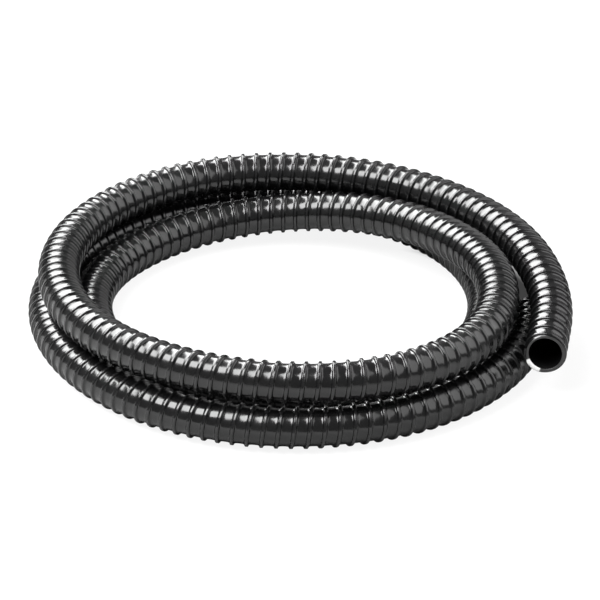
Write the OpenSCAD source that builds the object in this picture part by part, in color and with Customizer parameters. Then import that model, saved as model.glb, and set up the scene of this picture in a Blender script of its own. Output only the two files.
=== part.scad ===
/* [Hose] */
// Clear bore of the hose
bore_d = 38; // [35:0.5:41]
// Thickness of the soft wall between two ribs
wall_t = 2.4; // [2:0.1:3]
// Height of a rib above the wall
rib_h = 2.9; // [2.4:0.1:3.4]
// Width of a rib at its foot
rib_w = 5; // [4.4:0.1:6]
// Bevel along both edges of a rib
rib_bevel = 0.9; // [0.4:0.1:1]
// Distance from one rib to the next along the hose
rib_pitch = 16; // [14:0.5:18]
// Length of the hose from one cut end to the other
hose_length = 5000; // [4850:10:5050]
// Length at each cut end that lies straight, so that a fitting can be pushed in
end_straight = 43; // [30:1:60]

/* [Spiral] */
// Width of the rigid spiral that lies in the crown of each rib
spiral_w = 2.2; // [1.8:0.1:2.4]
// Height of the soft bed that the spiral lies on, above the wall
spiral_bed = 0.1; // [0.1:0.1:0.6]
// Play between the spiral and the sides and bed of its channel
spiral_fit = 0.05; // [0.02:0.01:0.15]

/* [Coil] */
// Radius of lane 0, the coil's inner lane, to the centre of the hose
coil_r = 240; // [220:1:300]

/* [Free end] */
// Number of ribs on each short link of the free end
link_ribs = 4; // [3:1:5]
// Width of the hairline seam between two stretches of the wall
seam = 0.05; // [0.03:0.01:0.1]

/* [Hidden] */
$fn = 72;

// Sizes that follow from the ones above
od = bore_d + 2 * (wall_t + rib_h);
web_d = bore_d + 2 * wall_t;
bed_d = web_d + 2 * spiral_bed;
rib_count = floor((hose_length - rib_pitch) / rib_pitch) + 1;
end_stub = (hose_length - (rib_count - 1) * rib_pitch) / 2;

// The route is a chain of short arcs, each as long as a few rib pitches
arc_ribs = 3;
arc_l = arc_ribs * rib_pitch;
arc_count = ceil((rib_count - 1 + end_stub / rib_pitch) / arc_ribs);
// Angle around the coil of the first rib, next to the free end
start_angle = -29;
// The rib over the joint of two arcs bridges a short break in the tube
joint_break = 2;
joint_relief = 0.2;
// How deep the foot of every other rib reaches into the tube
rib_root = 1.2;

// Control points of the route: angle around the coil, lane and layer, both in hose diameters
STATIONS = [
    [-60, 1.60, 1.12], [-30, 1.73, 1.05], [0, 0.73, 1.60], [30, 0.42, 1.53],
    [60, 0.35, 1.52], [90, 0.56, 1.50], [120, 0.79, 1.52], [150, 0.88, 1.46],
    [180, 0.78, 1.54], [210, 0.63, 1.51], [240, 0.50, 1.55], [270, 0.55, 1.54],
    [300, 0.61, 1.52], [330, 0.25, 1.44], [360, -0.38, 1.59], [390, -0.79, 1.37],
    [420, -0.56, 1.11], [450, -0.21, 0.82], [480, 0.03, 0.58], [510, 0.13, 0.50],
    [540, 0.03, 0.58], [570, -0.20, 0.54], [600, -0.22, 0.52], [630, -0.23, 0.52],
    [660, -0.36, 0.51], [690, -0.51, 0.51], [720, -0.48, 0.50], [750, -0.14, 0.50],
    [780, 0.42, 0.52], [810, 0.85, 0.50], [840, 1.10, 0.50], [870, 1.16, 0.50],
    [900, 1.04, 0.50], [930, 0.81, 0.50], [960, 0.80, 0.50], [990, 0.77, 0.50],
    [1020, 0.73, 0.50], [1050, 0.62, 0.50], [1080, 0.56, 0.50], [1110, 0.58, 0.50],
    [1140, 0.50, 0.50], [1170, 0.50, 0.50]
];
station_step = STATIONS[1][0] - STATIONS[0][0];

function unit(v) = v / norm(v);

// Weights of the four control points around a place, f of the way from the second to the third
function spline_weights(f) = let (g = 1 - f)
    [pow(g, 3), 4 - 6 * pow(f, 2) + 3 * pow(f, 3), 4 - 6 * pow(g, 2) + 3 * pow(g, 3), pow(f, 3)] / 6;

function station(a) = let (
    q = (a - STATIONS[0][0]) / station_step,
    i = max(1, min(len(STATIONS) - 3, floor(q))),
    w = spline_weights(q - i)
) w[0] * STATIONS[i - 1] + w[1] * STATIONS[i] + w[2] * STATIONS[i + 1] + w[3] * STATIONS[i + 2];

// The plan shift puts the origin below the middle of the whole coil
plan_shift = [0.3, -1.9];
function route(a) = let (s = station(a), r = coil_r + s[1] * od)
    [r * cos(a) + plan_shift[0], r * sin(a) + plan_shift[1], s[2] * od];

// Movement along the route for each degree around the coil
function per_degree(a) = route(a + 0.5) - route(a - 0.5);

function next_angle(a) = a + arc_l / norm(per_degree(a + arc_l / 2 / norm(per_degree(a))));

angle_of = [for (k = 0, a = start_angle; k <= arc_count; a = next_angle(a), k = k + 1) a];

// Directions at the arcs' ends; the arcs within end_straight of either cut end lie straight
first_bend = max(1, ceil((end_straight - end_stub) / arc_l));
last_bend = floor((rib_count - 1 + (end_stub - end_straight) / rib_pitch) / arc_ribs);
heading_of = [for (k = [0:arc_count])
    unit(per_degree(angle_of[max(first_bend, min(last_bend, k))]))];

function turn_of(k) = 2 * asin(min(1, norm(heading_of[k + 1] - heading_of[k]) / 2));

function inward_of(k) = turn_of(k) == 0
    ? unit(cross([0, 0, 1], heading_of[k]))
    : unit(heading_of[k + 1] - (heading_of[k + 1] * heading_of[k]) * heading_of[k]);

// Place on arc k, measured from its start, at a share of the arc's length
function arc_offset(k, share) = let (turn = turn_of(k), t = heading_of[k])
    turn == 0
        ? share * arc_l * t
        : arc_l / (turn * PI / 180) * (sin(share * turn) * t + (1 - cos(share * turn)) * inward_of(k));

chain = [for (k = 0, p = route(angle_of[first_bend]) - first_bend * arc_offset(0, 1); k <= arc_count;
    p = p + arc_offset(min(k, arc_count - 1), 1), k = k + 1) p];

// The chain is lowered or raised until its lowest arc lies on the ground
arc_start = [for (p = chain) p - [0, 0, min([for (q = chain) q[2]]) - od / 2]];

// Place and direction of a point of the route, counted in ribs from the free end
function arc_at(rib) = max(0, min(arc_count - 1, floor(rib / arc_ribs)));
function place_of(rib) = let (k = arc_at(rib)) arc_start[k] + arc_offset(k, rib / arc_ribs - k);
function direction_of(rib) = let (k = arc_at(rib), swing = (rib / arc_ribs - k) * turn_of(k))
    cos(swing) * heading_of[k] + sin(swing) * inward_of(k);

// The hose is divided into stretches: short links at the free end, long stretches around the
// coil and a short one at the hidden end. The cuts between them are counted in ribs.
first_cut = -end_stub / rib_pitch;
last_cut = rib_count - 1 + end_stub / rib_pitch;
links = 4;
coil_stretches = 10;
hidden_end_cut = rib_count - link_ribs - 0.5;
coil_ribs = hidden_end_cut - links * link_ribs + 0.5;
cuts = concat(
    [first_cut],
    [for (n = [1:links]) n * link_ribs - 0.5],
    [for (n = [1:coil_stretches]) links * link_ribs + round(n * coil_ribs / coil_stretches) - 0.5],
    [last_cut]
);

// Children drawn with their axes along x, y and z, and their origin at p
module placed(x, y, z, p) {
    multmatrix([[x[0], y[0], z[0], p[0]], [x[1], y[1], z[1], p[1]], [x[2], y[2], z[2], p[2]]]) children();
}

// Children drawn with their z axis along the hose, at a point counted in ribs
module at_rib(rib) {
    along = direction_of(rib);
    side = unit(cross([0, 0, 1], along));
    placed(side, cross(along, side), along, place_of(rib)) children();
}

module tube_section() {
    difference() {
        circle(d = web_d);
        circle(d = bore_d);
    }
}

// The smooth tube along arc k, between two points counted in ribs
module tube(k, from, to) {
    start = from / arc_ribs - k;
    share = (to - from) / arc_ribs;
    along = heading_of[k];
    if (turn_of(k) == 0)
        at_rib(from) linear_extrude(share * arc_l) tube_section();
    else {
        outward = -inward_of(k);
        bend_r = arc_l / (turn_of(k) * PI / 180);
        placed(outward, along, cross(outward, along), arc_start[k] - bend_r * outward)
            rotate([0, 0, start * turn_of(k)])
                rotate_extrude(angle = share * turn_of(k))
                    translate([bend_r, 0]) tube_section();
    }
}

// Half of a rib's outline, from the middle of its crown to its root, turned over by side
function rib_half(root_r, side) = [
    [root_r, side * rib_w / 2], [od / 2 - rib_bevel, side * rib_w / 2],
    [od / 2, side * (rib_w / 2 - rib_bevel)], [od / 2, side * spiral_w / 2],
    [bed_d / 2, side * spiral_w / 2]
];

function reversed(list) = [for (i = [len(list) - 1:-1:0]) list[i]];

// The soft wall's part of a rib, with the channel that the spiral lies in
module rib_wall(rib) {
    joint = rib % arc_ribs == 0 && rib > 0;
    root_r = joint ? bore_d / 2 + joint_relief : web_d / 2 - rib_root;
    at_rib(rib)
        rotate_extrude() polygon(concat(rib_half(root_r, 1), reversed(rib_half(root_r, -1))));
}

// One turn of the rigid spiral, closed to a ring
module spiral_turn(rib) {
    turn_w = spiral_w - 2 * spiral_fit;
    at_rib(rib)
        translate([0, 0, -turn_w / 2])
            linear_extrude(turn_w)
                difference() {
                    circle(d = od);
                    circle(d = bed_d + 2 * spiral_fit);
                }
}

// Stretch n of the soft wall: its lengths of tube, and the ribs on them
module wall_stretch(n) {
    from = cuts[n] + (n > 0 ? seam / 2 / rib_pitch : 0);
    to = cuts[n + 1] - (n < len(cuts) - 2 ? seam / 2 / rib_pitch : 0);
    margin = joint_break / 2 / rib_pitch;
    color([0.07, 0.07, 0.08]) {
        for (k = [arc_at(from):arc_at(to)])
            tube(k,
                k == arc_at(from) ? from : k * arc_ribs + margin,
                k == arc_at(to) ? to : (k + 1) * arc_ribs - margin);
        for (rib = [ceil(from):floor(to)]) rib_wall(rib);
    }
}

// Stretch n of the rigid spiral
module spiral_stretch(n) {
    color([0.2, 0.2, 0.22])
        for (rib = [ceil(cuts[n]):floor(cuts[n + 1])]) spiral_turn(rib);
}

module free_end_wall_1() { wall_stretch(0); }
module free_end_wall_2() { wall_stretch(1); }
module free_end_wall_3() { wall_stretch(2); }
module free_end_wall_4() { wall_stretch(3); }
module upper_turn_wall_1() { wall_stretch(4); }
module upper_turn_wall_2() { wall_stretch(5); }
module upper_turn_wall_3() { wall_stretch(6); }
module inner_turn_wall_1() { wall_stretch(7); }
module inner_turn_wall_2() { wall_stretch(8); }
module inner_turn_wall_3() { wall_stretch(9); }
module inner_turn_wall_4() { wall_stretch(10); }
module floor_turn_wall_1() { wall_stretch(11); }
module floor_turn_wall_2() { wall_stretch(12); }
module floor_turn_wall_3() { wall_stretch(13); }
module hidden_end_wall() { wall_stretch(14); }

module free_end_spiral_1() { spiral_stretch(0); }
module free_end_spiral_2() { spiral_stretch(1); }
module free_end_spiral_3() { spiral_stretch(2); }
module free_end_spiral_4() { spiral_stretch(3); }
module upper_turn_spiral_1() { spiral_stretch(4); }
module upper_turn_spiral_2() { spiral_stretch(5); }
module upper_turn_spiral_3() { spiral_stretch(6); }
module inner_turn_spiral_1() { spiral_stretch(7); }
module inner_turn_spiral_2() { spiral_stretch(8); }
module inner_turn_spiral_3() { spiral_stretch(9); }
module inner_turn_spiral_4() { spiral_stretch(10); }
module floor_turn_spiral_1() { spiral_stretch(11); }
module floor_turn_spiral_2() { spiral_stretch(12); }
module floor_turn_spiral_3() { spiral_stretch(13); }
module hidden_end_spiral() { spiral_stretch(14); }

free_end_wall_1();
free_end_wall_2();
free_end_wall_3();
free_end_wall_4();
upper_turn_wall_1();
upper_turn_wall_2();
upper_turn_wall_3();
inner_turn_wall_1();
inner_turn_wall_2();
inner_turn_wall_3();
inner_turn_wall_4();
floor_turn_wall_1();
floor_turn_wall_2();
floor_turn_wall_3();
hidden_end_wall();
free_end_spiral_1();
free_end_spiral_2();
free_end_spiral_3();
free_end_spiral_4();
upper_turn_spiral_1();
upper_turn_spiral_2();
upper_turn_spiral_3();
inner_turn_spiral_1();
inner_turn_spiral_2();
inner_turn_spiral_3();
inner_turn_spiral_4();
floor_turn_spiral_1();
floor_turn_spiral_2();
floor_turn_spiral_3();
hidden_end_spiral();
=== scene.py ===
"""Dresses the coiled vacuum hose: its soft wall with a helical rib, the rigid spiral in the rib's
crown and the two cut ends, in a plain white studio. All lengths are in metres."""
import logging
import math
from dataclasses import dataclass, field
from enum import Enum, IntEnum

import bpy
import numpy as np
from mathutils import Matrix, Vector


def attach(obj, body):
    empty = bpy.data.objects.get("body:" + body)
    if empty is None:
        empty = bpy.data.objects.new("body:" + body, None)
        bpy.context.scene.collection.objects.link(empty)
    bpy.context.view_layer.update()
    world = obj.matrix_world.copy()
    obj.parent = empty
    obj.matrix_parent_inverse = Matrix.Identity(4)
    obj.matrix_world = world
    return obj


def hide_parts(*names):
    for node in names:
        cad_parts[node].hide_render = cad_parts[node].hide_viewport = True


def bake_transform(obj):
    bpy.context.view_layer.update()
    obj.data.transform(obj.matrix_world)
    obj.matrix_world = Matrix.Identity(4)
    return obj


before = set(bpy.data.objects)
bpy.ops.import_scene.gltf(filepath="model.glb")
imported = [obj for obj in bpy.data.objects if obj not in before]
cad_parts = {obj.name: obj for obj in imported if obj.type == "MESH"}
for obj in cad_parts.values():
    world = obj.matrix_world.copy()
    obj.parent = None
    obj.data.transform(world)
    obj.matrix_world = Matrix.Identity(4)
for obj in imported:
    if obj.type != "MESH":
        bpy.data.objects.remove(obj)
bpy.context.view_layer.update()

logging.basicConfig(level=logging.INFO, format="%(message)s")
LOG = logging.getLogger("hose")

MM = 0.001

# Less than any real turn of the route or share of a pitch
TINY = 1e-9
UP = np.array([0.0, 0.0, 1.0])
WHITE = (1.0, 1.0, 1.0, 1.0)

# Control points of the hose's route, as in the CAD source: angle around the coil, lane and layer,
# both in diameters. A separate solver made most of them, so they are data and follow no rule.
STATIONS = (
    (-60, 1.60, 1.12), (-30, 1.73, 1.05), (0, 0.73, 1.60), (30, 0.42, 1.53),
    (60, 0.35, 1.52), (90, 0.56, 1.50), (120, 0.79, 1.52), (150, 0.88, 1.46),
    (180, 0.78, 1.54), (210, 0.63, 1.51), (240, 0.50, 1.55), (270, 0.55, 1.54),
    (300, 0.61, 1.52), (330, 0.25, 1.44), (360, -0.38, 1.59), (390, -0.79, 1.37),
    (420, -0.56, 1.11), (450, -0.21, 0.82), (480, 0.03, 0.58), (510, 0.13, 0.50),
    (540, 0.03, 0.58), (570, -0.20, 0.54), (600, -0.22, 0.52), (630, -0.23, 0.52),
    (660, -0.36, 0.51), (690, -0.51, 0.51), (720, -0.48, 0.50), (750, -0.14, 0.50),
    (780, 0.42, 0.52), (810, 0.85, 0.50), (840, 1.10, 0.50), (870, 1.16, 0.50),
    (900, 1.04, 0.50), (930, 0.81, 0.50), (960, 0.80, 0.50), (990, 0.77, 0.50),
    (1020, 0.73, 0.50), (1050, 0.62, 0.50), (1080, 0.56, 0.50), (1110, 0.58, 0.50),
    (1140, 0.50, 0.50), (1170, 0.50, 0.50),
)


class RayKind(Enum):
    """Outputs of the Light Path node that this scene uses."""

    CAMERA = "Is Camera Ray"


class Ending(Enum):
    """What a stretch of hose ends in."""

    SEAM = "seam"
    CUT = "cut"


class FarEnd(Enum):
    """What is on the far end of a stretch."""

    BARE = "bare"
    OBJECT = "object"


class FaceSlot(IntEnum):
    """Material slots of a piece's faces."""

    SURFACE = 0
    CUT = 1


def unit(vectors: np.ndarray) -> np.ndarray:
    """Scales a vector, or each row of an array, to length 1."""
    return vectors / np.linalg.norm(vectors, axis=-1, keepdims=True)


def new_material(name: str) -> tuple[bpy.types.Material, bpy.types.NodeTree]:
    """Makes a material that is built from nodes.

    Args:
        name: The material's name.

    Returns:
        The material and its nodes.
    """
    material = bpy.data.materials.new(name)
    material.use_nodes = True
    return material, material.node_tree


def add_node(
    tree: bpy.types.NodeTree, kind: str, inputs: dict[str | int, object] | None = None,
    **settings: str,
) -> bpy.types.Node:
    """Adds a node.

    Args:
        tree: The nodes that it joins.
        kind: Its type.
        inputs: What its inputs get: a value, or another node's output to link to.
        **settings: Its own settings, such as operation.

    Returns:
        The node.
    """
    node = tree.nodes.new(kind)
    for title, value in settings.items():
        setattr(node, title, value)
    for key, value in (inputs or {}).items():
        if isinstance(value, bpy.types.NodeSocket):
            tree.links.new(value, node.inputs[key])
        else:
            node.inputs[key].default_value = value
    return node


@dataclass(frozen=True)
class HoseSizes:
    """The driving sizes of the hose."""

    bore: float = 38 * MM
    wall: float = 2.4 * MM
    rib_height: float = 2.9 * MM
    pitch: float = 16 * MM
    length: float = 5.0
    # Shortest straight length behind a cut end
    end_straight: float = 43 * MM
    # Radius of the coil at lane 0
    coil_radius: float = 240 * MM
    # Puts the coil's box in the middle of the frame
    plan_shift: tuple[float, float] = (0.3 * MM, -1.9 * MM)
    # Angle around the coil at the first rib
    start_angle: float = -29
    # Ribs to each arc of the route
    arc_ribs: int = 3
    # How far along the hose the helix starts, at the side towards the coil's middle
    helix_start: float = 3.3 * MM
    # Slope of the free end's cut: distance along the hose for each unit of height
    free_end_slant: float = 0.16

    @property
    def web_radius(self) -> float:
        """Radius of the wall's outside between two ribs."""
        return self.bore / 2 + self.wall

    @property
    def outside(self) -> float:
        """Diameter over the ribs."""
        return 2 * (self.web_radius + self.rib_height)

    @property
    def rib_count(self) -> int:
        """Number of times that the rib goes round the hose."""
        return math.floor((self.length - self.pitch) / self.pitch + TINY) + 1

    @property
    def stub(self) -> float:
        """Length from the first or last rib's middle to the cut end."""
        return (self.length - (self.rib_count - 1) * self.pitch) / 2

    @property
    def free_end(self) -> float:
        """Distance of the free cut end from the first rib, along the hose."""
        return -self.stub

    @property
    def hidden_end(self) -> float:
        """Distance of the hidden cut end from the first rib, along the hose."""
        return self.length - self.stub


@dataclass
class Route:
    """The line that the middle of the hose follows: a chain of short arcs along a smooth curve."""

    sizes: HoseSizes
    arc: float = field(init=False)
    heading: np.ndarray = field(init=False)
    inward: np.ndarray = field(init=False)
    turn: np.ndarray = field(init=False)
    start: np.ndarray = field(init=False)

    def __post_init__(self) -> None:
        """Works out where each arc starts, where it heads and how far it turns."""
        s = self.sizes
        self.arc = s.arc_ribs * s.pitch
        count = math.ceil((s.hidden_end / s.pitch) / s.arc_ribs)
        angles = [s.start_angle]
        while len(angles) <= count:
            middle = angles[-1] + self.arc / 2 / np.linalg.norm(self._per_degree(angles[-1]))
            angles.append(angles[-1] + self.arc / np.linalg.norm(self._per_degree(middle)))
        first = max(1, math.ceil((s.end_straight - s.stub) / self.arc))
        last = math.floor((s.hidden_end - s.end_straight) / self.arc)
        self.heading = np.array(
            [unit(self._per_degree(angles[max(first, min(last, k))])) for k in range(count + 1)]
        )
        before, after = self.heading[:-1], self.heading[1:]
        self.turn = 2 * np.arcsin(np.minimum(1, np.linalg.norm(after - before, axis=1) / 2))
        square = after - (after * before).sum(1)[:, None] * before
        across = unit(np.cross(UP, before))
        bends = self.turn > TINY
        self.inward = across.copy()
        self.inward[bends] = unit(square[bends])
        steps = np.array([self._offset(k, np.array([1.0]))[0] for k in range(count)])
        origin = self._smooth(angles[first]) - steps[:first].sum(0)
        self.start = np.vstack([origin, origin + np.cumsum(steps, axis=0)])
        self.start[:, 2] -= self.start[:, 2].min() - s.outside / 2

    def _smooth(self, angle: float) -> np.ndarray:
        """A point of the smooth curve that the arcs follow.

        Args:
            angle: Angle around the coil, in degrees.

        Returns:
            The point.
        """
        s = self.sizes
        step = STATIONS[1][0] - STATIONS[0][0]
        at = (angle - STATIONS[0][0]) / step
        i = int(max(1, min(len(STATIONS) - 3, math.floor(at))))
        f, g = at - i, 1 - at + i
        # Weights of a uniform cubic B-spline
        weights = np.array(
            [g**3, 4 - 6 * f**2 + 3 * f**3, 4 - 6 * g**2 + 3 * g**3, f**3]
        ) / 6
        _, lane, layer = weights @ np.array(STATIONS[i - 1 : i + 3])
        radius, a = s.coil_radius + lane * s.outside, math.radians(angle)
        x, y = s.plan_shift
        return np.array([radius * math.cos(a) + x, radius * math.sin(a) + y, layer * s.outside])

    def _per_degree(self, angle: float) -> np.ndarray:
        """Movement along the smooth curve for one degree around the coil."""
        return self._smooth(angle + 0.5) - self._smooth(angle - 0.5)

    def _offset(self, k: int | np.ndarray, share: np.ndarray) -> np.ndarray:
        """Places on arcs, measured from each arc's start.

        Args:
            k: The arcs' numbers.
            share: How far along its arc each place is, from 0 to 1.

        Returns:
            One offset in each row.
        """
        turn = np.maximum(self.turn[k], TINY)
        radius, angle = self.arc / turn, share * turn
        ahead = (radius * np.sin(angle))[..., None] * self.heading[k]
        aside = (radius * (1 - np.cos(angle)))[..., None] * self.inward[k]
        return ahead + aside

    def frames(self, along: np.ndarray) -> tuple[np.ndarray, np.ndarray, np.ndarray, np.ndarray]:
        """The route's places and directions.

        Args:
            along: Distances from the first rib.

        Returns:
            The places, the sideways directions towards the coil's middle, the upward
            directions and the directions of travel.
        """
        at = along / self.arc
        k = np.clip(np.floor(at).astype(int), 0, len(self.turn) - 1)
        angle = (at - k) * self.turn[k]
        places = self.start[k] + self._offset(k, at - k)
        travel = (
            np.cos(angle)[..., None] * self.heading[k] + np.sin(angle)[..., None] * self.inward[k]
        )
        side = unit(np.cross(UP, travel))
        return places, side, np.cross(travel, side), travel

    def surface(self, along: np.ndarray, around: np.ndarray, radius: np.ndarray) -> np.ndarray:
        """Points round the hose.

        Args:
            along: Distance of each point from the first rib, along the hose.
            around: Angle of each point round the hose, in radians, from its inner side upward.
            radius: Distance of each point from the middle of the hose.

        Returns:
            The points, one in each row.
        """
        places, side, up, _ = self.frames(along)
        return places + radius[..., None] * (
            np.cos(around)[..., None] * side + np.sin(around)[..., None] * up
        )


@dataclass(frozen=True)
class RibProfile:
    """The outline of the wall along the hose: half a pitch to either side of the rib's middle."""

    sizes: HoseSizes
    # Distance from the rib's middle and height above the wall, from the crown's lip outward
    flank: tuple[tuple[float, float], ...] = (
        (1.10 * MM, 2.80 * MM), (1.45 * MM, 2.68 * MM), (1.82 * MM, 2.36 * MM),
        (2.05 * MM, 1.86 * MM), (2.26 * MM, 1.30 * MM), (2.52 * MM, 0.86 * MM),
        (2.90 * MM, 0.54 * MM), (3.45 * MM, 0.32 * MM), (4.20 * MM, 0.17 * MM),
        (5.20 * MM, 0.07 * MM), (6.40 * MM, 0.02 * MM),
    )
    # Where the channel's side meets its bed
    channel: tuple[float, float] = (1.08 * MM, 0.15 * MM)
    # The rigid spiral's outline: distance from its middle, height above the wall
    rod: tuple[tuple[float, float], ...] = (
        (-1.06 * MM, 0.20 * MM), (-1.06 * MM, 2.62 * MM), (-0.99 * MM, 2.80 * MM),
        (-0.78 * MM, 2.89 * MM), (-0.48 * MM, 2.82 * MM), (0.0, 2.78 * MM), (0.48 * MM, 2.82 * MM),
        (0.78 * MM, 2.89 * MM), (0.99 * MM, 2.80 * MM), (1.06 * MM, 2.62 * MM),
        (1.06 * MM, 0.20 * MM),
    )

    def outline(self) -> np.ndarray:
        """The wall's outline over one pitch.

        Returns:
            Distance from the rib's middle and radius, in order along the hose.
        """
        half = [self.channel, *self.flank]
        whole = [(-u, h) for u, h in reversed(half)] + list(half) + [(self.sizes.pitch / 2, 0.0)]
        return np.array(whole) + [0.0, self.sizes.web_radius]

    def radius_at(self, from_rib: np.ndarray) -> np.ndarray:
        """The wall's radius at distances from a rib's middle, without the spiral's channel."""
        u, h = np.array(self.flank).T
        return self.sizes.web_radius + np.interp(np.abs(from_rib), u, h)


@dataclass(frozen=True)
class GlossyPvc:
    """Black PVC as it leaves the die: glossy, with fine drawn lines beside the rib."""

    name: str
    # Darker than the plastic is, to offset soft boxes that render colours too bright
    tone: float = 0.0035
    roughness: float = 0.18
    line_depth: float = 0.04 * MM
    ior: float = 1.53
    # Clouds that make gloss and tone uneven
    cloud_scale: float = 55.0
    cloud_detail: float = 3.0
    # The stretch of the clouds' noise over which the gloss and the tone change
    gloss_span: tuple[float, float] = (0.3, 0.7)
    tone_span: tuple[float, float] = (0.35, 0.7)
    # Shares of the roughness, the tone and its blue at the two ends of that stretch
    gloss_shares: tuple[float, float] = (0.75, 1.35)
    tone_shares: tuple[float, float] = (0.8, 1.25)
    blue_shares: tuple[float, float] = (0.84, 1.28)
    line_scale: float = 900.0
    line_detail: float = 2.0
    line_strength: float = 0.5

    def build(self) -> bpy.types.Material:
        """Makes the material.

        Returns:
            The material.
        """
        material, tree = new_material(self.name)
        drawn = add_node(tree, "ShaderNodeAttribute", attribute_name="drawn")
        straight = add_node(tree, "ShaderNodeAttribute", attribute_name="straight")
        cloud = add_node(tree, "ShaderNodeTexNoise", {
            "Vector": straight.outputs["Vector"],
            "Scale": self.cloud_scale,
            "Detail": self.cloud_detail,
        })
        lines = add_node(tree, "ShaderNodeTexNoise", {
            "Vector": drawn.outputs["Vector"],
            "Scale": self.line_scale,
            "Detail": self.line_detail,
        })
        gloss = add_node(tree, "ShaderNodeMapRange", {
            "Value": cloud.outputs["Fac"],
            "From Min": self.gloss_span[0],
            "From Max": self.gloss_span[1],
            "To Min": self.roughness * self.gloss_shares[0],
            "To Max": self.roughness * self.gloss_shares[1],
        })
        shade = add_node(tree, "ShaderNodeValToRGB", {"Fac": cloud.outputs["Fac"]})
        for stop, at, grey, blue in zip(
            shade.color_ramp.elements, self.tone_span, self.tone_shares, self.blue_shares
        ):
            stop.position = at
            stop.color = (self.tone * grey, self.tone * grey, self.tone * blue, 1)
        bump = add_node(tree, "ShaderNodeBump", {
            "Strength": self.line_strength,
            "Distance": self.line_depth,
            "Height": lines.outputs["Fac"],
        })
        shader = tree.nodes["Principled BSDF"]
        shader.inputs["IOR"].default_value = self.ior
        tree.links.new(shade.outputs["Color"], shader.inputs["Base Color"])
        tree.links.new(gloss.outputs["Result"], shader.inputs["Roughness"])
        tree.links.new(bump.outputs["Normal"], shader.inputs["Normal"])
        return material


@dataclass(frozen=True)
class CutPvc:
    """The sawn face of a cut end: duller and a little paler than the outside."""

    name: str
    tone: float = 0.025
    roughness: float = 0.42
    # The saw's grain, and the shares of the tone and the roughness in its hollows and on its ridges
    grain_scale: float = 1400.0
    grain_detail: float = 4.0
    grain_depth: float = 0.08 * MM
    grain_strength: float = 0.6
    tone_shares: tuple[float, float] = (0.7, 1.4)
    gloss_shares: tuple[float, float] = (0.8, 1.2)
    # Where the face's colour turns white in a crescent, as an angle round the hose
    crescent_angle: float = math.radians(312)
    crescent_half_width: float = math.radians(27)
    crescent_colour: tuple[float, float, float, float] = (0.85, 0.85, 0.84, 1)
    # How ragged the white's edge is, and where it starts and is full, past the half width's cosine
    raggedness: float = 0.04
    edge_span: tuple[float, float] = (0.01, 0.05)

    def build(self) -> bpy.types.Material:
        """Makes the material.

        Returns:
            The material.
        """
        material, tree = new_material(self.name)
        straight = add_node(tree, "ShaderNodeAttribute", attribute_name="straight")
        grain = add_node(tree, "ShaderNodeTexNoise", {
            "Vector": straight.outputs["Vector"],
            "Scale": self.grain_scale,
            "Detail": self.grain_detail,
        })
        shade = add_node(tree, "ShaderNodeValToRGB", {"Fac": grain.outputs["Fac"]})
        for stop, share in zip(shade.color_ramp.elements, self.tone_shares):
            stop.color = (self.tone * share,) * 3 + (1,)
        # Mixes the white crescent into the face's colour
        blend = add_node(tree, "ShaderNodeMix", {
            "Factor": self._add_pale_crescent(tree, straight, grain),
            "A": shade.outputs["Color"],
            "B": self.crescent_colour,
        }, data_type="RGBA")
        gloss = add_node(tree, "ShaderNodeMapRange", {
            "Value": grain.outputs["Fac"],
            "To Min": self.roughness * self.gloss_shares[0],
            "To Max": self.roughness * self.gloss_shares[1],
        })
        bump = add_node(tree, "ShaderNodeBump", {
            "Strength": self.grain_strength,
            "Distance": self.grain_depth,
            "Height": grain.outputs["Fac"],
        })
        shader = tree.nodes["Principled BSDF"]
        tree.links.new(blend.outputs["Result"], shader.inputs["Base Color"])
        tree.links.new(gloss.outputs["Result"], shader.inputs["Roughness"])
        tree.links.new(bump.outputs["Normal"], shader.inputs["Normal"])
        return material

    def _add_pale_crescent(
        self, tree: bpy.types.NodeTree, straight: bpy.types.Node, grain: bpy.types.Node
    ) -> bpy.types.NodeSocket:
        """Adds a white crescent to the face's colour, centred at one angle round the hose.

        Args:
            tree: The material's nodes.
            straight: The node that gives places on the straightened hose.
            grain: The node that roughens the crescent's edge.

        Returns:
            How white the face is, from 0 to 1.
        """
        flat = add_node(tree, "ShaderNodeVectorMath", {
            0: straight.outputs["Vector"], 1: (0, 1, 1),
        }, operation="MULTIPLY")
        outward = add_node(tree, "ShaderNodeVectorMath", {
            0: flat.outputs["Vector"],
        }, operation="NORMALIZE")
        toward = add_node(tree, "ShaderNodeVectorMath", {
            0: outward.outputs["Vector"],
            1: (0, math.cos(self.crescent_angle), math.sin(self.crescent_angle)),
        }, operation="DOT_PRODUCT")
        ragged = add_node(tree, "ShaderNodeMath", {
            0: grain.outputs["Fac"], 1: self.raggedness, 2: toward.outputs["Value"],
        }, operation="MULTIPLY_ADD")
        half_width = math.cos(self.crescent_half_width)
        edge = add_node(tree, "ShaderNodeMapRange", {
            "Value": ragged.outputs["Value"],
            "From Min": half_width + self.edge_span[0],
            "From Max": half_width + self.edge_span[1],
        }, interpolation_type="SMOOTHSTEP")
        return edge.outputs["Result"]


@dataclass
class Finishes:
    """The materials of the hose."""

    wall: bpy.types.Material
    spiral: bpy.types.Material
    cut: bpy.types.Material

    @classmethod
    def build(cls) -> "Finishes":
        """Makes all the materials.

        Returns:
            The materials.
        """
        return cls(
            wall=GlossyPvc("soft_pvc").build(),
            spiral=GlossyPvc("rigid_pvc", tone=0.007, roughness=0.13, line_depth=0.01 * MM).build(),
            cut=CutPvc("cut_pvc").build(),
        )


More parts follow.
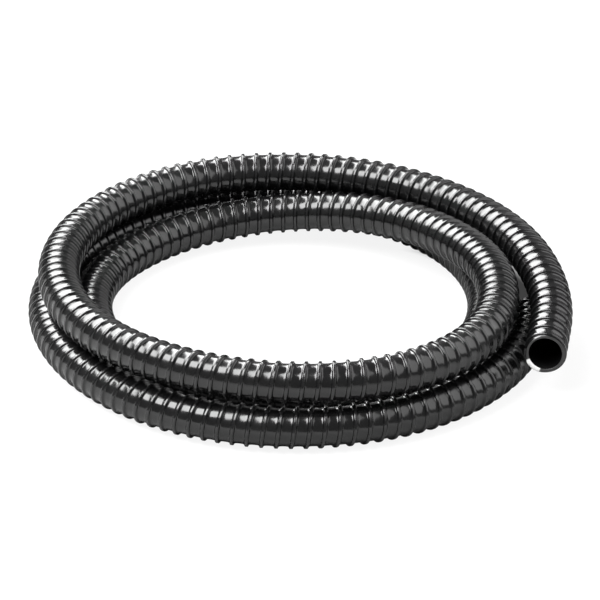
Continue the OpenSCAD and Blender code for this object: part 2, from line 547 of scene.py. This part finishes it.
@dataclass
class MeshParts:
    """Points and faces gathered for one piece."""

    route: Route
    along: list[np.ndarray] = field(default_factory=list)
    around: list[np.ndarray] = field(default_factory=list)
    radius: list[np.ndarray] = field(default_factory=list)
    across: list[np.ndarray] = field(default_factory=list)
    faces: list[list[int]] = field(default_factory=list)
    slots: list[int] = field(default_factory=list)
    count: int = 0
    # Edges that bend more than this are shaded sharp
    sharp_angle: float = math.radians(48)
    # How far the drawn lines' noise moves on for each unit along the hose: little, for long lines
    drawn_advance: float = 0.02

    def add_points(
        self, along: np.ndarray, around: np.ndarray, radius: np.ndarray, across: np.ndarray
    ) -> np.ndarray:
        """Adds points given in the hose's own directions.

        Args:
            along: Distances along the hose.
            around: Angles round the hose.
            radius: Distances from its middle.
            across: Distances from the nearest rib's middle.

        Returns:
            The points' numbers, in the same shape.
        """
        shape = np.broadcast_shapes(along.shape, around.shape, radius.shape, across.shape)
        for store, values in (
            (self.along, along), (self.around, around), (self.radius, radius),
            (self.across, across),
        ):
            store.append(np.broadcast_to(values, shape).ravel())
        size = int(np.prod(shape))
        numbers = np.arange(self.count, self.count + size).reshape(shape)
        self.count += size
        return numbers

    def add_faces(self, corners: np.ndarray, slot: FaceSlot) -> None:
        """Adds faces, and leaves out the corners and faces that have shrunk to nothing.

        Args:
            corners: Four point numbers in each row.
            slot: The faces' material slot.
        """
        same = corners == np.roll(corners, -1, axis=1)
        whole = corners[~same.any(axis=1)]
        self.faces += whole.tolist()
        self.slots += [int(slot)] * len(whole)
        for row, gone in zip(corners[same.any(axis=1)], same[same.any(axis=1)]):
            kept = row[~gone].tolist()
            if len(kept) == 3 and len(set(kept)) == 3:
                self.faces.append(kept)
                self.slots.append(int(slot))

    def add_sheet(self, numbers: np.ndarray, beside: np.ndarray, slot: FaceSlot) -> None:
        """Joins rows of numbered points with faces, given each point's next one in its row."""
        corners = np.stack([numbers[:-1], beside[:-1], beside[1:], numbers[1:]], axis=2)
        self.add_faces(corners.reshape(-1, 4), slot)

    def add_band(self, before: np.ndarray, after: np.ndarray, slot: FaceSlot) -> None:
        """Joins two numbered rings with faces, which look the other way if the rings are swapped."""
        corners = np.stack([before, np.roll(before, -1), np.roll(after, -1), after], axis=1)
        self.add_faces(corners, slot)

    def build(self, name: str, materials: list[bpy.types.Material]) -> bpy.types.Object:
        """Makes the piece.

        Args:
            name: The piece's name.
            materials: Its material slots.

        Returns:
            The piece.
        """
        along, around = np.concatenate(self.along), np.concatenate(self.around)
        radius, across = np.concatenate(self.radius), np.concatenate(self.across)
        points = self.route.surface(along, around, radius)
        mesh = bpy.data.meshes.new(name)
        mesh.from_pydata(points, [], self.faces)
        mesh.polygons.foreach_set("material_index", np.array(self.slots, np.int32))
        # One pitch is bent into a circle, so that the drawn lines meet where it starts again
        pitch = self.route.sizes.pitch
        phase = 2 * np.pi * across / pitch
        circle = pitch / (2 * np.pi)
        drawn = np.stack(
            [circle * np.cos(phase), circle * np.sin(phase), self.drawn_advance * along], axis=1
        )
        straight = np.stack([along, radius * np.cos(around), radius * np.sin(around)], axis=1)
        for title, values in (("drawn", drawn), ("straight", straight)):
            attribute = mesh.attributes.new(title, "FLOAT_VECTOR", "POINT")
            attribute.data.foreach_set("vector", values.astype(np.float32).ravel())
        for material in materials:
            mesh.materials.append(material)
        mesh.validate()
        mesh.shade_smooth()
        mesh.set_sharp_from_angle(angle=self.sharp_angle)
        piece = bpy.data.objects.new(name, mesh)
        bpy.context.scene.collection.objects.link(piece)
        return piece


@dataclass
class HoseStretch:
    """A stretch of the hose: its soft wall and the rigid spiral in the wall's rib."""

    name: str
    route: Route
    profile: RibProfile
    begin: float
    end: float
    begin_as: Ending = Ending.SEAM
    end_as: Ending = Ending.SEAM
    begin_slant: float = 0.0
    # Points in a ring round the hose
    columns: int = 56
    # Width of the broken edges of a cut end
    bevel: float = 0.35 * MM
    # Points nearer than this to an end give way to the ring that closes it
    weld: float = 0.1 * MM
    # How far inside the wall's cut face the spiral is cut
    spiral_sink: float = 0.05 * MM
    bore_rings_per_pitch: float = 1.5
    # A slanted ring's radius and its place along the hose settle in this many rounds
    ring_rounds: int = 4

    def _around(self) -> np.ndarray:
        """Angles of the columns round the hose."""
        return np.arange(self.columns) * 2 * np.pi / self.columns

    def _fall_back(self, around: np.ndarray) -> np.ndarray:
        """How far the helix falls back towards the free end at an angle round the hose."""
        return self.route.sizes.pitch * around / (2 * np.pi)

    def _from_rib(self, along: np.ndarray, around: np.ndarray) -> np.ndarray:
        """Distance of points from the middle of the nearest turn of the rib.

        Args:
            along: The points' distances along the hose.
            around: Their angles round it.

        Returns:
            The distances, negative towards the free end.
        """
        pitch, helix_start = self.route.sizes.pitch, self.route.sizes.helix_start
        turned_back = along - helix_start + self._fall_back(around)
        return (turned_back + pitch / 2) % pitch - pitch / 2

    def _plane(self, at: float, around: np.ndarray, radius: float | np.ndarray) -> np.ndarray:
        """Where the flat end or a flat section of the stretch lies at points round the hose.

        Args:
            at: The section's distance along the hose, at its lowest point.
            around: The points' angles round the hose.
            radius: Their distances from its middle.

        Returns:
            Their distances along the hose.
        """
        reach = self.route.sizes.outside / 2 + radius * np.sin(around)
        # Only the sections next to the cut are slanted, and all others lie square
        near_begin = at < self.begin + self.route.sizes.bore / 4
        return at + (self.begin_slant if near_begin else 0.0) * reach

    def _outer_ring(self, parts: MeshParts, at: float, inset: float = 0.0) -> np.ndarray:
        """A flat ring round the wall's outside.

        Args:
            parts: Where the points go.
            at: The ring's distance along the hose.
            inset: How far inside the surface it lies.

        Returns:
            The points' numbers.
        """
        around = self._around()
        radius = np.full(self.columns, self.route.sizes.web_radius)
        for _ in range(self.ring_rounds):
            along = self._plane(at, around, radius)
            across = self._from_rib(along, around)
            radius = self.profile.radius_at(across) - inset
        return parts.add_points(along, around, radius, across)

    def _bore_ring(self, parts: MeshParts, along: np.ndarray, outset: float = 0.0) -> np.ndarray:
        """A ring round the bore.

        Args:
            parts: Where the points go.
            along: Its points' distances along the hose.
            outset: How far into the wall it lies.

        Returns:
            The points' numbers.
        """
        around = self._around()
        across = self._from_rib(along, around)
        radius = np.array(self.route.sizes.bore / 2 + outset)
        return parts.add_points(along, around, radius, across)

    def build_wall(self, finishes: Finishes) -> bpy.types.Object:
        """Makes the soft wall.

        Args:
            finishes: The hose's materials.

        Returns:
            The wall.
        """
        parts = MeshParts(self.route)
        pitch, around = self.route.sizes.pitch, self._around()
        low = self.begin + (self.bevel if self.begin_as is Ending.CUT else 0.0)
        high = self.end - (self.bevel if self.end_as is Ending.CUT else 0.0)
        outline = self.profile.outline()
        # Some turns to spare at both ends: what lies outside the stretch gives way to its end rings
        turns = np.arange(math.floor(low / pitch) - 1, math.ceil(high / pitch) + 3)
        first = (turns[:, None] * pitch + outline[None, :, 0]).ravel()
        first += self.route.sizes.helix_start
        across = np.tile(outline[:, 0], len(turns))
        radius = np.tile(outline[:, 1], len(turns))
        along = first[:, None] - self._fall_back(around[None, :])
        below = along <= self._plane(low, around[None, :], radius[:, None]) + self.weld
        above = along >= high - self.weld
        inside = ~(below | above)
        low_ring, high_ring = self._outer_ring(parts, low), self._outer_ring(parts, high)
        numbers = np.where(below, low_ring[None, :], high_ring[None, :])
        rows, columns = np.nonzero(inside)
        numbers[inside] = parts.add_points(
            along[inside], around[columns], radius[rows], across[rows]
        )
        beside = np.roll(numbers, -1, axis=1)
        beside[:, -1] = low_ring[0]
        beside[len(outline):, -1] = numbers[: -len(outline), 0]
        parts.add_sheet(numbers, beside, FaceSlot.SURFACE)
        first_bore, last_bore = self._line_bore(parts, low, high)
        self._close_end(parts, low_ring, first_bore, self.begin_as, True)
        self._close_end(parts, high_ring, last_bore, self.end_as, False)
        return parts.build(self.name, [finishes.wall, finishes.cut])

    def _line_bore(
        self, parts: MeshParts, low: float, high: float
    ) -> tuple[np.ndarray, np.ndarray]:
        """Lines the bore.

        Args:
            parts: Where the points and faces go.
            low: Where the bore starts.
            high: Where it ends.

        Returns:
            The point numbers of its first and its last ring.
        """
        steps = max(1, round((high - low) / self.route.sizes.pitch * self.bore_rings_per_pitch))
        first = self._plane(low, self._around(), self.route.sizes.bore / 2)
        rings = [
            self._bore_ring(parts, first + (high - first) * share)
            for share in np.linspace(0, 1, steps + 1)
        ]
        for before, after in zip(rings, rings[1:]):
            parts.add_band(after, before, FaceSlot.SURFACE)
        return rings[0], rings[-1]

    def _close_end(
        self, parts: MeshParts, outer: np.ndarray, bore: np.ndarray, kind: Ending, first: bool
    ) -> None:
        """Closes the wall between its outside and its bore.

        Args:
            parts: Where the points and faces go.
            outer: The outside's last ring.
            bore: The bore's last ring.
            kind: Whether the end is a seam or a cut end with broken edges.
            first: True for the end that comes first along the hose.
        """
        rings = [bore, outer]
        if kind is Ending.CUT:
            face = self.begin if first else self.end
            radius = self.route.sizes.bore / 2 + self.bevel
            inner = self._bore_ring(parts, self._plane(face, self._around(), radius), self.bevel)
            rim = self._outer_ring(parts, face, self.bevel)
            rings = [bore, inner, rim, outer]
        slot = FaceSlot.CUT if kind is Ending.CUT else FaceSlot.SURFACE
        for nearer, further in zip(rings, rings[1:]):
            if first:
                parts.add_band(nearer, further, slot)
            else:
                parts.add_band(further, nearer, slot)

    def build_spiral(self, finishes: Finishes) -> bpy.types.Object:
        """Makes the rigid spiral in the crown of the rib.

        Args:
            finishes: The hose's materials.

        Returns:
            The spiral.
        """
        parts = MeshParts(self.route)
        pitch, web = self.route.sizes.pitch, self.route.sizes.web_radius
        offset, height = np.array(self.profile.rod).T
        helix_start = self.route.sizes.helix_start
        first = math.floor((self.begin - helix_start + offset[0]) / pitch * self.columns)
        last = math.ceil((self.end - helix_start + offset[-1]) / pitch * self.columns)
        step = np.arange(first, last + 1)
        low = self.begin + (self.spiral_sink if self.begin_as is Ending.CUT else 0.0)
        high = self.end - (self.spiral_sink if self.end_as is Ending.CUT else 0.0)
        along = helix_start + step[:, None] * pitch / self.columns + offset[None, :]
        around = np.broadcast_to((-2 * np.pi * step / self.columns)[:, None], along.shape)
        along = np.clip(along, self._plane(low, around, web + height[None, :]), high)
        numbers = parts.add_points(along, around, web + height[None, :], offset[None, :])
        parts.add_sheet(numbers, np.roll(numbers, -1, axis=1), FaceSlot.SURFACE)
        for end in (numbers[0, ::-1], numbers[-1]):
            parts.faces.append(end.tolist())
            parts.slots.append(int(FaceSlot.SURFACE))
        return parts.build(self.name + "_spiral", [finishes.spiral])


@dataclass(frozen=True)
class SoftBox:
    """A rectangular soft box that hangs round the hose."""

    name: str
    # The middles of its two short sides: degrees from the front to the right, and above the floor
    sides: tuple[tuple[float, float], tuple[float, float]]
    # Length of the short sides
    height: float
    distance: float
    # Radiance of its face, where 1 is white
    brightness: float

    @staticmethod
    def _direction(azimuth: float, elevation: float) -> Vector:
        """A direction 1 long, by degrees from the front to the right and above the floor."""
        a, e = math.radians(azimuth), math.radians(elevation)
        return Vector((math.sin(a) * math.cos(e), -math.cos(a) * math.cos(e), math.sin(e)))

    def hang(self, target: Vector) -> None:
        """Makes the lamp and turns it to the hose.

        Args:
            target: The place that it faces.
        """
        start, end = (self._direction(*side) * self.distance for side in self.sides)
        middle, along = (start + end) / 2, end - start
        lamp = bpy.data.lights.new(self.name, "AREA")
        lamp.shape = "RECTANGLE"
        lamp.size, lamp.size_y = along.length, self.height
        lamp.energy = self.brightness * math.pi * lamp.size * lamp.size_y
        box = bpy.data.objects.new(self.name, lamp)
        bpy.context.scene.collection.objects.link(box)
        back = middle.normalized()
        across = (along - along.dot(back) * back).normalized()
        turned = Matrix((across, back.cross(across), back)).transposed().to_4x4()
        box.matrix_world = Matrix.Translation(target + middle) @ turned
        box.visible_camera = False


@dataclass(frozen=True)
class Studio:
    """A white floor and soft boxes to the left, behind and to the right."""

    target: Vector = field(default_factory=lambda: Vector((0.0, 0.0, 0.04)))
    # Bright enough for highlights on black: a matt colour renders about 3.6 times as bright as it
    # is written
    boxes: tuple[SoftBox, ...] = (
        SoftBox("back_left_box", ((-171, 28), (-113, 41)), 1.5, 2.6, 14.5),
        SoftBox("left_box", ((-93, 47), (-20, 57)), 1.35, 2.6, 14.5),
        SoftBox("right_fill", ((44, 34), (134, 25)), 2.4, 3.2, 2.1),
    )
    # Strength of the surroundings to all but the camera
    world_dim: float = 0.28
    floor_radius: float = 8.0
    floor_sides: int = 64
    floor_drop: float = 0.2 * MM
    # Grey of the floor to all but the camera
    floor_grey: float = 0.42
    # What the camera sees of the floor: a share that is lit and a share that glows
    floor_lit: float = 0.12
    floor_glow: float = 0.88
    # The shade below the raised end: a stretch of a ring round the coil's middle
    shade_radius: float = 0.276
    shade_half_width: float = 0.040
    shade_middle: float = math.radians(22)
    shade_half_length: float = math.radians(38)
    # Shares of the half width and the half length over which the shade is even
    shade_core: tuple[float, float] = (0.3, 0.35)
    # How pale the floor stays in the middle of the shade
    shade_depth: float = 0.05

    def build_world(self) -> None:
        """Makes the surroundings: white to the camera and dim to everything else."""
        world = bpy.data.worlds.new("studio")
        bpy.context.scene.world = world
        world.use_nodes = True
        tree = world.node_tree
        tree.nodes.clear()
        path = add_node(tree, "ShaderNodeLightPath")
        dim, white = (
            add_node(tree, "ShaderNodeBackground", {"Color": WHITE, "Strength": strength})
            for strength in (self.world_dim, 1.0)
        )
        mix = add_node(tree, "ShaderNodeMixShader", {
            0: path.outputs[RayKind.CAMERA.value], 1: dim.outputs[0], 2: white.outputs[0],
        })
        add_node(tree, "ShaderNodeOutputWorld", {"Surface": mix.outputs[0]})

    def build_floor(self) -> None:
        """Makes the floor, a wide disc just below the hose."""
        mesh = bpy.data.meshes.new("floor")
        corners = [
            (self.floor_radius * math.cos(a), self.floor_radius * math.sin(a), -self.floor_drop)
            for a in np.linspace(0, 2 * math.pi, self.floor_sides, endpoint=False)
        ]
        mesh.from_pydata(corners, [], [list(range(self.floor_sides))])
        mesh.materials.append(self._floor_paper())
        floor = bpy.data.objects.new("floor", mesh)
        bpy.context.scene.collection.objects.link(floor)

    def _floor_paper(self) -> bpy.types.Material:
        """Makes the floor's material: white to the camera but for soft shadows, grey to all else.

        Returns:
            The material.
        """
        material, tree = new_material("floor_paper")
        tree.nodes.clear()
        path = add_node(tree, "ShaderNodeLightPath")
        unshaded = self._add_shade(tree)
        lit, glowing = (
            add_node(tree, "ShaderNodeMath", {0: unshaded, 1: share}, operation="MULTIPLY")
            for share in (self.floor_lit, self.floor_glow)
        )
        seen = add_node(tree, "ShaderNodeBsdfDiffuse", {"Color": lit.outputs["Value"]})
        glow = add_node(tree, "ShaderNodeEmission", {"Color": glowing.outputs["Value"]})
        both = add_node(tree, "ShaderNodeAddShader", {0: seen.outputs[0], 1: glow.outputs[0]})
        paper = add_node(tree, "ShaderNodeBsdfDiffuse", {"Color": (self.floor_grey,) * 3 + (1,)})
        mix = add_node(tree, "ShaderNodeMixShader", {
            0: path.outputs[RayKind.CAMERA.value], 1: paper.outputs[0], 2: both.outputs[0],
        })
        add_node(tree, "ShaderNodeOutputMaterial", {"Surface": mix.outputs[0]})
        return material

    def _add_shade(self, tree: bpy.types.NodeTree) -> bpy.types.NodeSocket:
        """Adds the shade that the raised end of the hose casts straight down.

        Args:
            tree: The floor's nodes.

        Returns:
            How pale the floor stays at each place, from 0 to 1.
        """
        place = add_node(tree, "ShaderNodeNewGeometry").outputs["Position"]
        outward = add_node(tree, "ShaderNodeVectorMath", {0: place}, operation="LENGTH")
        across = add_node(tree, "ShaderNodeMath", {
            0: outward.outputs["Value"], 1: self.shade_radius,
        }, operation="SUBTRACT")
        beside = add_node(tree, "ShaderNodeMath", {
            0: across.outputs["Value"],
        }, operation="ABSOLUTE")
        bearing = add_node(tree, "ShaderNodeVectorMath", {0: place}, operation="NORMALIZE")
        middle, half = self.shade_middle, self.shade_half_length
        along = add_node(tree, "ShaderNodeVectorMath", {
            0: bearing.outputs["Vector"], 1: (math.cos(middle), math.sin(middle), 0),
        }, operation="DOT_PRODUCT")
        core_width, core_length = self.shade_core
        # Dark in the core and pale from the edge on, over a range that has to rise
        across_fade, along_fade = (
            add_node(tree, "ShaderNodeMapRange", {
                "Value": value.outputs["Value"],
                "From Min": min(dark_at, pale_at),
                "From Max": max(dark_at, pale_at),
                "To Min": float(dark_at > pale_at),
                "To Max": float(dark_at < pale_at),
            }, interpolation_type="SMOOTHSTEP")
            for value, dark_at, pale_at in (
                (beside, core_width * self.shade_half_width, self.shade_half_width),
                (along, math.cos(core_length * half), math.cos(half)),
            )
        )
        pale = add_node(tree, "ShaderNodeMath", {
            0: across_fade.outputs["Result"], 1: along_fade.outputs["Result"],
        }, operation="MAXIMUM")
        lifted = add_node(tree, "ShaderNodeMapRange", {
            "Value": pale.outputs["Value"], "To Min": self.shade_depth,
        })
        return lifted.outputs["Result"]

    def build(self) -> None:
        """Makes the surroundings, the floor and the lamps."""
        self.build_world()
        self.build_floor()
        for box in self.boxes:
            box.hang(self.target)


@dataclass(frozen=True)
class Viewpoint:
    """The camera: far away and a little above, square to the coil."""

    aim: Vector = field(default_factory=lambda: Vector((1.8 * MM, 14.4 * MM, 31.2 * MM)))
    distance: float = 6.046
    elevation: float = 27.5
    lens: float = 312.0
    sensor: float = 36.0
    clip_end: float = 100.0

    def build(self) -> None:
        """Makes the camera and looks through it."""
        e = math.radians(self.elevation)
        back = Vector((0, -math.cos(e), math.sin(e)))
        camera = bpy.data.objects.new("camera", bpy.data.cameras.new("camera"))
        bpy.context.scene.collection.objects.link(camera)
        camera.location = self.aim + back * self.distance
        camera.rotation_mode = "QUATERNION"
        camera.rotation_quaternion = back.to_track_quat("Z", "Y")
        camera.data.lens = self.lens
        camera.data.sensor_width = self.sensor
        camera.data.clip_end = self.clip_end
        bpy.context.scene.camera = camera


@dataclass(frozen=True)
class CoilStretch:
    """A stretch of the coil, which rides on one body."""

    name: str
    # Where it ends, counted in ribs, or None where the hose ends
    end: float | None
    wall_nodes: tuple[str, ...]


@dataclass
class Hose:
    """The whole hose: two stretches at the free end, and the coil's stretches."""

    sizes: HoseSizes
    route: Route
    profile: RibProfile
    finishes: Finishes
    # Where the two stretches at the free end end, and for each a pair of ribs whose places are
    # worked out but not used
    tip_end: float = 8
    root_end: float = 27
    lift_bend: tuple[float, float] = (7.7, 2.7)
    swing_bend: tuple[float, float] = (18, 13)
    coil: tuple[CoilStretch, ...] = (
        CoilStretch("upper_turn_right", 73.5, ("upper_turn_wall_1", "upper_turn_wall_2")),
        CoilStretch("upper_turn_left", 103.5, ("upper_turn_wall_3",)),
        CoilStretch("inner_turn_front", 161.5, ("inner_turn_wall_1", "inner_turn_wall_2")),
        CoilStretch("inner_turn_back", 219.5, ("inner_turn_wall_3", "inner_turn_wall_4")),
        CoilStretch("floor_turn_front", 278.5, ("floor_turn_wall_1", "floor_turn_wall_2")),
        CoilStretch("floor_turn_end", None, ("floor_turn_wall_3", "hidden_end_wall")),
    )
    # Distance between the points of the line that a stretch follows
    line_step: float = 0.01

    def _at_rib(self, rib: float) -> float:
        """Distance along the hose of a point counted in ribs."""
        return rib * self.sizes.pitch

    def _point(self, rib: float) -> tuple[float, float, float]:
        """Place of the middle of the hose at a point counted in ribs."""
        return tuple(self.route.frames(np.array([self._at_rib(rib)]))[0][0].tolist())

    def _stretch(
        self, name: str, begin: float, end: float, wall_nodes: tuple[str, ...]
    ) -> tuple[bpy.types.Object, bpy.types.Object, np.ndarray]:
        """Makes one stretch and hides the solids that it stands for.

        Args:
            name: The stretch's name.
            begin: Where it begins, as a distance along the hose.
            end: Where it ends.
            wall_nodes: The wall's solids that it stands for.

        Returns:
            The wall, the spiral and the line that both follow.
        """
        s = self.sizes
        stretch = HoseStretch(
            name, self.route, self.profile, begin, end,
            Ending.CUT if begin == s.free_end else Ending.SEAM,
            Ending.CUT if end == s.hidden_end else Ending.SEAM,
            begin_slant=s.free_end_slant if begin == s.free_end else 0.0,
        )
        wall, spiral = stretch.build_wall(self.finishes), stretch.build_spiral(self.finishes)
        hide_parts(*wall_nodes)
        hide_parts(*[node.replace("wall", "spiral") for node in wall_nodes])
        count = max(2, round((end - begin) / self.line_step))
        line = self.route.frames(np.linspace(begin, end, count))[0]
        LOG.info("%s: %d and %d faces", name, len(wall.data.polygons), len(spiral.data.polygons))
        return wall, spiral, line

    def build(self) -> None:
        """Makes every stretch, and fastens each of the coil's stretches to the coil's body."""
        self._build_free_end()
        begin = self._at_rib(self.root_end)
        for part in self.coil:
            is_last = part.end is None
            end = self.sizes.hidden_end if is_last else self._at_rib(part.end)
            wall, spiral, line = self._stretch(part.name, begin, end, part.wall_nodes)
            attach(wall, "coil")
            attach(spiral, "coil")
            begin = end

    def _build_free_end(self) -> None:
        """Makes the two stretches at the free end and bakes their transforms into their meshes."""
        tip_end, root_end = self._at_rib(self.tip_end), self._at_rib(self.root_end)
        tip, tip_spiral, _ = self._stretch(
            "free_end_tip", self.sizes.free_end, tip_end, ("free_end_wall_1", "free_end_wall_2")
        )
        start, end = (self._point(rib) for rib in self.lift_bend)
        for piece in (tip, tip_spiral):
            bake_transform(piece)
        root, root_spiral, line = self._stretch(
            "free_end_root", tip_end, root_end, ("free_end_wall_3", "free_end_wall_4")
        )
        start, end = (self._point(rib) for rib in self.swing_bend)
        for piece in (root, root_spiral):
            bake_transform(piece)


def main() -> None:
    """Builds the camera, the hose and the studio in order."""
    bpy.context.scene.view_settings.view_transform = "Standard"
    Viewpoint().build()
    sizes = HoseSizes()
    hose = Hose(sizes, Route(sizes), RibProfile(sizes), Finishes.build())
    hose.build()
    Studio().build()


if __name__ == "__main__":
    main()
